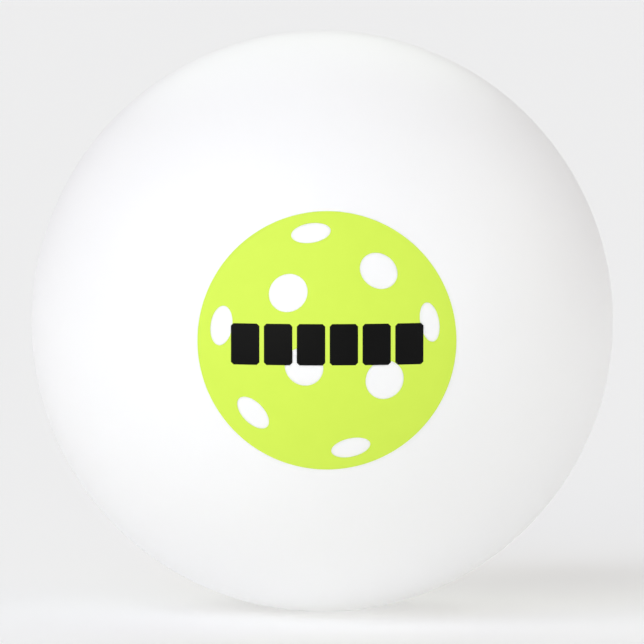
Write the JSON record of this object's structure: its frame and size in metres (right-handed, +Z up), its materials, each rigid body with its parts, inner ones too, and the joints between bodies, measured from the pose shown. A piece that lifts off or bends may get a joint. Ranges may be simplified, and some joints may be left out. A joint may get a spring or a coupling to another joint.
{
  "type": "table tennis ball",
  "caption": "Hollow white plastic table tennis ball, with a lapped and cemented seam and a round lime-green print of a spotted ball on its front.",
  "frame": {"origin": "centre of the ball", "axes": "+Y from the printed front to the plain back, square to the seam, which lies in the XZ plane; the print faces -Y; +Z up; +X to the right of someone who faces the print"},
  "size_m": [0.04, 0.04, 0.04],
  "materials": {
    "shell_abs": "white ABS, moulded, then tumbled to a fine satin",
    "cement": "dried solvent cement, ivory white, satin",
    "lime_ink": "UV-cured lime-green ink, satin",
    "black_ink": "UV-cured black ink, satin"
  },
  "bodies": {
    "root": {"front_half_shell": "shell_abs", "rear_half_shell": "shell_abs", "seam_cement": "cement", "green_print": "lime_ink", "black_print": "black_ink"}
  },
  "joints": []
}
